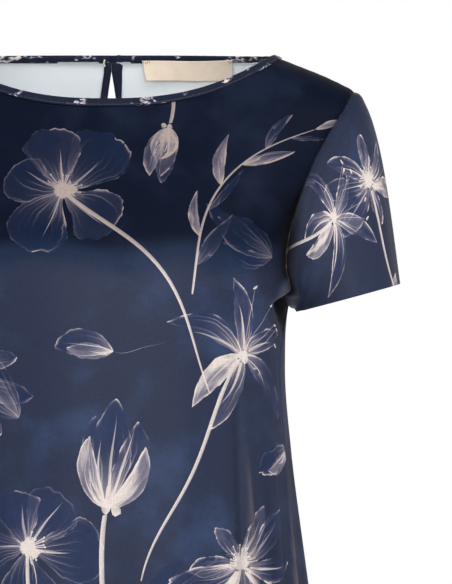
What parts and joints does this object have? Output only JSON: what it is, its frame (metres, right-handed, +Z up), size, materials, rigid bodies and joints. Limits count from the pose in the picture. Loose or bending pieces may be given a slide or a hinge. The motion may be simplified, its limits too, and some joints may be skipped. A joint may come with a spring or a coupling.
{
  "type": "blouse",
  "caption": "Short-sleeved satin blouse, filled out as worn, with a bound boat neck, a keyhole and button at the back neck and a softly flared hem.",
  "frame": {"origin": "midway between the two points where the neckline meets the shoulder seams, which is where the wearer's shoulders hold the blouse", "axes": "+Z up; -Y is the garment's front, so +X is the viewer's right (the wearer's left) when the front is seen"},
  "size_m": [0.489, 0.249, 0.6269],
  "materials": {
    "satin_front": "printed satin",
    "satin_back": "printed satin",
    "satin_sleeves": "printed satin",
    "binding": "printed satin, folded on the bias",
    "label": "woven ribbon, bare",
    "button": "glossy",
    "thread": "satin cord"
  },
  "bodies": {
    "root": {"front": "satin_front", "back": "satin_back", "sleeve_right": "satin_sleeves", "sleeve_left": "satin_sleeves", "neck_binding": "binding", "keyhole_binding": "binding", "label": "label", "button": "button", "button_loop": "thread", "loop_end": "thread"}
  },
  "joints": []
}
